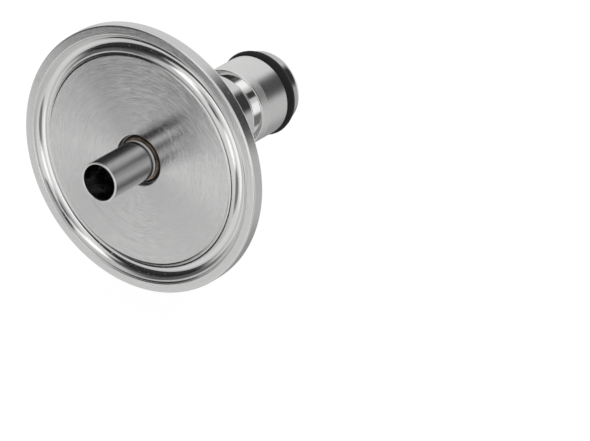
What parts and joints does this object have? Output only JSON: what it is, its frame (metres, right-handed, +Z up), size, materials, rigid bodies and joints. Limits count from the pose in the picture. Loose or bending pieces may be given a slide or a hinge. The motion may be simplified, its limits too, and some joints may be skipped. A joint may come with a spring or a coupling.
{
  "type": "clamp plate gas fitting",
  "caption": "Round sanitary clamp plate with a gasket groove, a stub tube on its face and a spring-valved quick-connect gas post on its back.",
  "frame": {"origin": "centre of the clamp plate's sealing face, on the axis", "axes": "+Y along the axis, from the sealing face through the plate to the tip of the post; the stub tube points to -Y; +Z up"},
  "size_m": [0.064, 0.0664, 0.064],
  "materials": {
    "turned_steel": "fine turned stainless steel, polished in the grooves",
    "tube_steel": "lengthwise brushed stainless steel tube",
    "weld_steel": "fused weld with straw and brown heat tint",
    "valve_steel": "bright machined stainless steel",
    "black_rubber": "satin black nitrile rubber"
  },
  "bodies": {
    "fitting": {"clamp_plate": "turned_steel", "stub_tube": "tube_steel", "stub_weld": "weld_steel", "neck": "turned_steel", "neck_weld": "weld_steel", "neck_seal": "black_rubber", "post_body": "turned_steel", "post_oring": "black_rubber", "poppet_cage": "valve_steel", "poppet_spring": "valve_steel"},
    "poppet": {"poppet_stem": "valve_steel", "poppet_seal": "black_rubber"}
  },
  "joints": [
    {"name": "poppet_press", "type": "slide", "parent": "fitting", "child": "poppet", "axis": [0, -1, 0], "range_m": [0, 0.0035], "stiffness_N_per_m": 600, "springref_m": -0.004, "deforming": ["poppet_spring"]}
  ]
}
